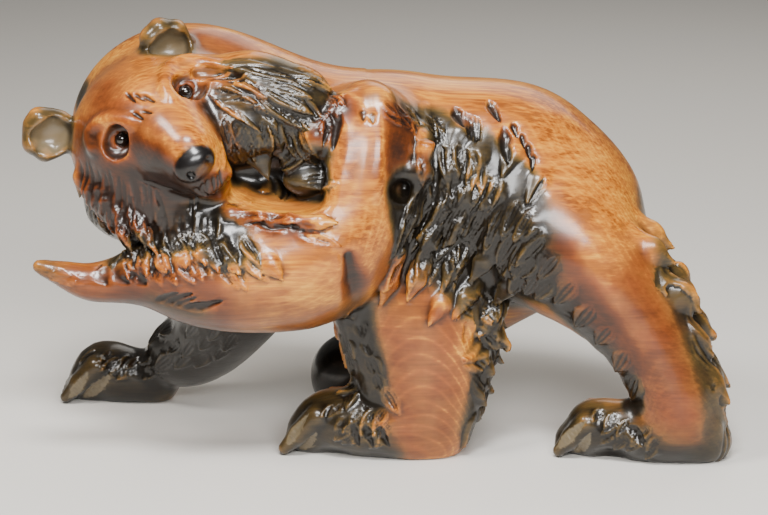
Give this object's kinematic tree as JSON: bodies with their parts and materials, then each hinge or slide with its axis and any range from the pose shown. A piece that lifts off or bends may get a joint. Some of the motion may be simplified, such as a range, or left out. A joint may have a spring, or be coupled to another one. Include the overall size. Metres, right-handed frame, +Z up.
{
  "type": "carved wooden bear",
  "caption": "Lacquered wooden bear carved from one block, striding with one forelimb held out and its head turned over its shoulder; stands on four flat soles as an ornament.",
  "frame": {"origin": "middle of the part's box seen from above, at the level of the soles", "axes": "+X toward the tail end, the head end lies toward -X; -Y is the side that the bear turns its face to; +Z up"},
  "size_m": [0.488, 0.232, 0.3049],
  "materials": {
    "carved_wood": "stained and lacquered, glossy, with dark stain in the cuts",
    "eye_glass": "dark polished glass"
  },
  "bodies": {
    "root": {"carved_bear": "carved_wood", "eye_left": "eye_glass", "eye_right": "eye_glass"}
  },
  "joints": []
}
